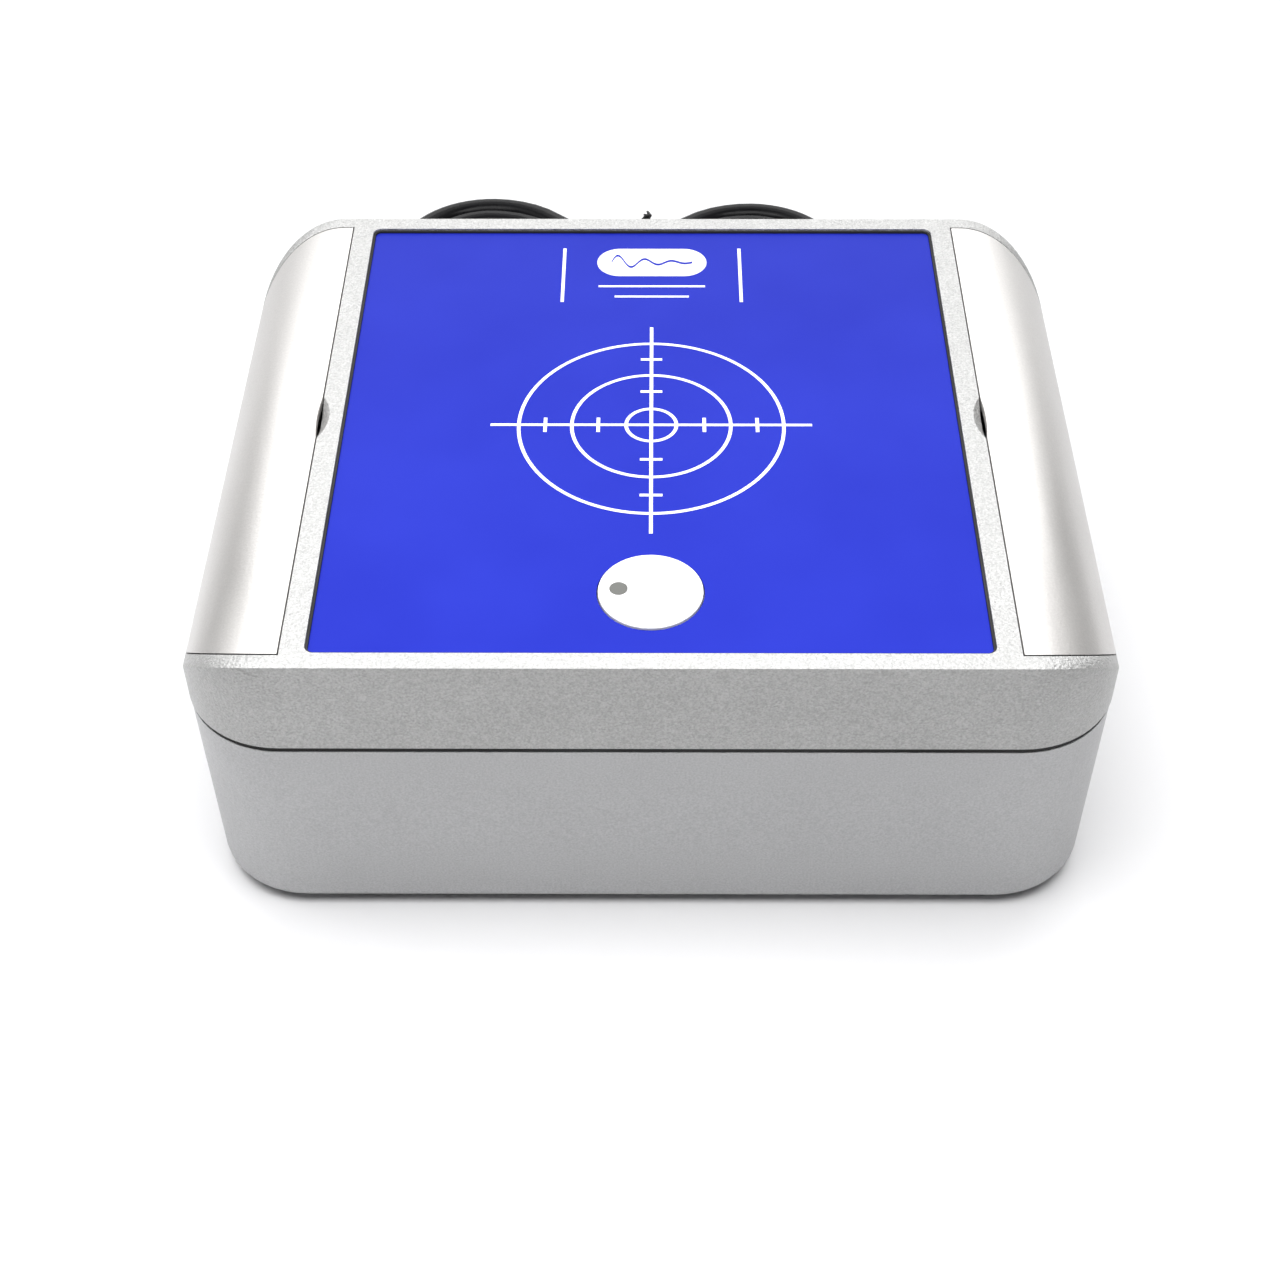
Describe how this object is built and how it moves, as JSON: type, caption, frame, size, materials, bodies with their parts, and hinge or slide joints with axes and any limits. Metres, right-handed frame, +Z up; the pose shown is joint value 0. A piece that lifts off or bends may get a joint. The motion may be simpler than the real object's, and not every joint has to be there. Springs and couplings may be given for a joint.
{
  "type": "pulse demagnetizer",
  "caption": "Bench demagnetizer: silver instrument case with hinged side covers, a recessed target panel over a flat pulse coil, a round push button and a tied mains lead.",
  "frame": {"origin": "on the surface the case stands on, under the middle of the case", "axes": "+X to the right as seen from the front, +Y to the back, +Z up"},
  "size_m": [0.199, 0.2683, 0.078],
  "materials": {
    "silver_case": "fine-grained silver lacquer, satin",
    "seal_rubber": "matt black",
    "steel": "zinc plated",
    "brass": "turned",
    "panel_blue": "smooth royal blue film",
    "print_white": "white ink",
    "button_white": "smooth white",
    "window_grey": "smoked translucent window",
    "moulded_black": "moulded black",
    "led_green": "clear green resin",
    "circuit_board": "green solder mask",
    "copper_wire": "enamelled copper winding",
    "capacitor_sleeve": "printed sleeve",
    "black_aluminium": "black anodised",
    "ceramic": "cemented ceramic",
    "transformer_blue": "potted block",
    "film_yellow": "moulded box",
    "tinned_metal": "tinned spring metal",
    "fuse_glass": "clear glass tube",
    "terminal_green": "moulded green",
    "ribbon_grey": "flat grey cable",
    "lead_red": "insulated wire",
    "lead_blue": "insulated wire",
    "cord_black": "smooth flexible black",
    "tie_black": "black wire tie",
    "plug_black": "moulded black",
    "pin_nickel": "nickel plated"
  },
  "bodies": {
    "case": {"base_shell": "silver_case", "lid_shell": "silver_case", "lid_seal": "seal_rubber", "rubber_feet": "seal_rubber", "panel_gasket": "seal_rubber", "left_hinge_pins": "steel", "right_hinge_pins": "steel", "lid_screws": "steel", "button_board_screws": "steel", "coil_screws": "steel", "board_screws": "steel", "relief_clip": "steel", "threaded_inserts": "brass", "front_panel": "panel_blue", "badge_wave": "panel_blue", "target_print": "print_white", "badge_print": "print_white", "key_switch": "moulded_black", "coil_former": "moulded_black", "bridge_rectifier": "moulded_black", "power_thyristor": "moulded_black", "control_chip": "moulded_black", "status_led": "led_green", "button_board": "circuit_board", "main_board": "circuit_board", "work_coil": "copper_wire", "storage_capacitors": "capacitor_sleeve", "heat_sink": "black_aluminium", "charge_resistor": "ceramic", "mains_transformer": "transformer_blue", "film_capacitor": "film_yellow", "fuse_clips": "tinned_metal", "glass_fuse": "fuse_glass", "terminal_block": "terminal_green", "ribbon_cable": "ribbon_grey", "coil_leads": "lead_red", "mains_leads": "lead_blue", "mains_cord_start": "cord_black", "mains_cord_end": "cord_black", "cord_hank": "cord_black", "strain_relief": "cord_black", "cord_tie": "tie_black", "plug_body": "plug_black", "plug_pins": "pin_nickel"},
    "left_cover": {"left_cover": "silver_case"},
    "right_cover": {"right_cover": "silver_case"},
    "push_button": {"button_cap": "button_white", "led_window": "window_grey", "button_clip": "steel", "switch_plunger": "moulded_black"}
  },
  "joints": [
    {"name": "left_cover_hinge", "type": "hinge", "parent": "case", "child": "left_cover", "pos_m": [-0.09695, 0, 0.0586], "axis": [0, -1, 0], "range_deg": [0, 95]},
    {"name": "right_cover_hinge", "type": "hinge", "parent": "case", "child": "right_cover", "pos_m": [0.09695, 0, 0.0586], "axis": [0, 1, 0], "range_deg": [0, 95]},
    {"name": "button_press", "type": "slide", "parent": "case", "child": "push_button", "axis": [0, 0, -1], "range_m": [0, 0.0008], "stiffness_N_per_m": 600, "springref_m": -0.002}
  ]
}
